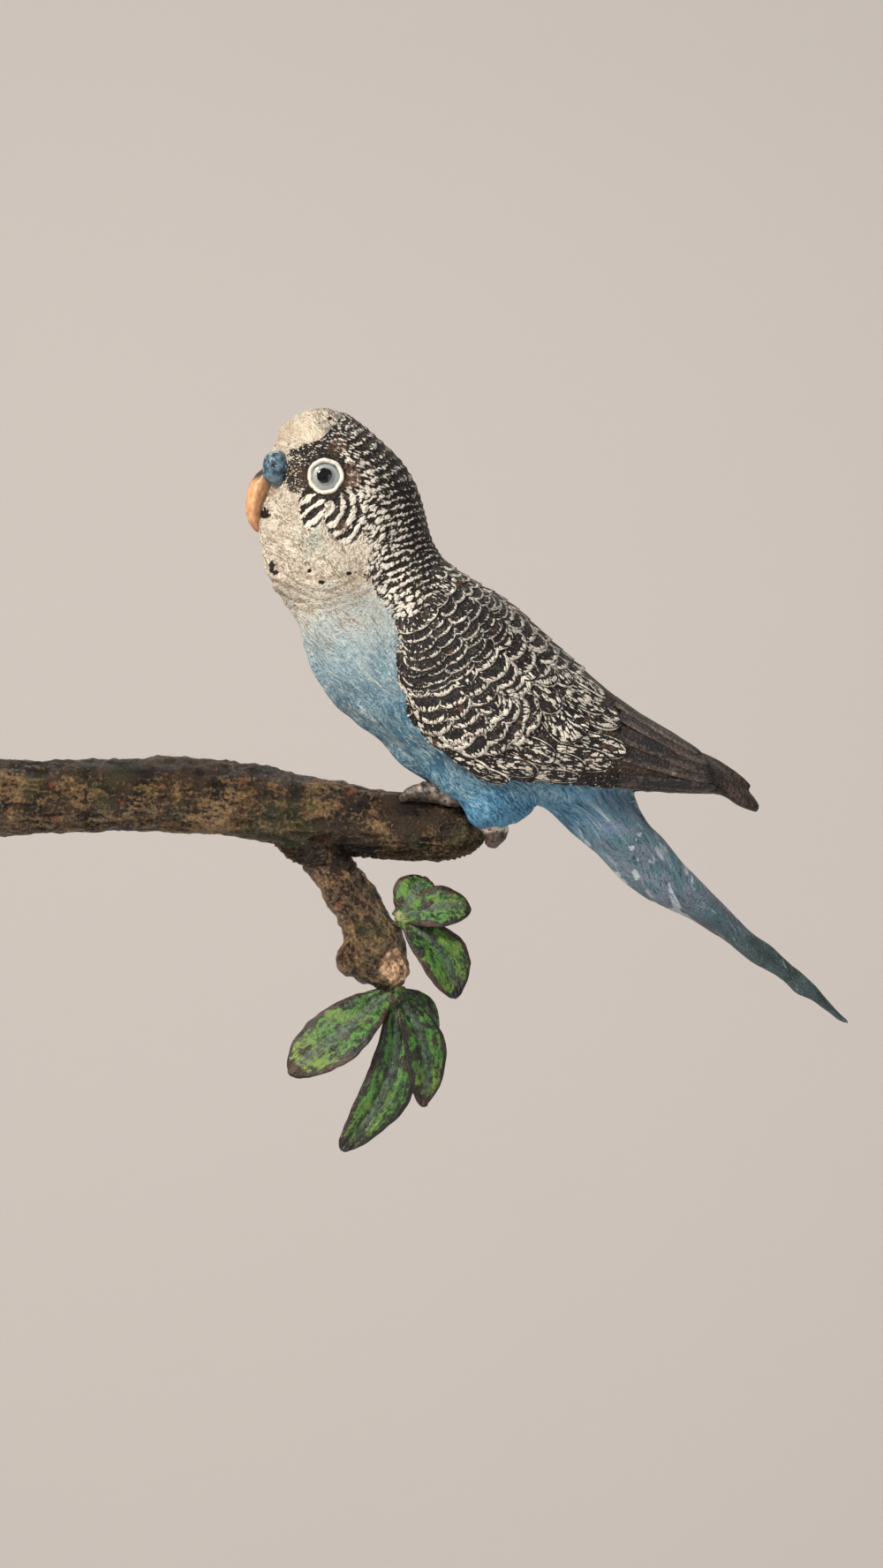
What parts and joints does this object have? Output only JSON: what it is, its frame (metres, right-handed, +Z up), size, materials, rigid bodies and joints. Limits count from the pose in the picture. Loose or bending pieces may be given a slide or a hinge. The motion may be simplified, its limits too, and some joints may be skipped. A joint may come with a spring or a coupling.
{
  "type": "parrot figurine",
  "caption": "Cold-painted cast bronze budgerigar, life size, perched on the end of a cast bark branch with a twig and leaf sprays.",
  "frame": {"origin": "centre of the branch's flat cut face", "axes": "+X along the branch from the cut face towards its tip and the bird's tail, +Z up, the bird's left side faces -Y"},
  "size_m": [0.1904, 0.0398, 0.1605],
  "materials": {
    "plumage_paint": "satin oil paint on bronze, worn",
    "bark_paint": "semi-gloss varnished paint on bronze",
    "leaf_paint": "gloss varnished paint on bronze, worn at the edges"
  },
  "bodies": {
    "root": {"bird": "plumage_paint", "branch": "bark_paint", "end_leaf_spray": "leaf_paint", "side_leaf_spray": "leaf_paint"}
  },
  "joints": []
}
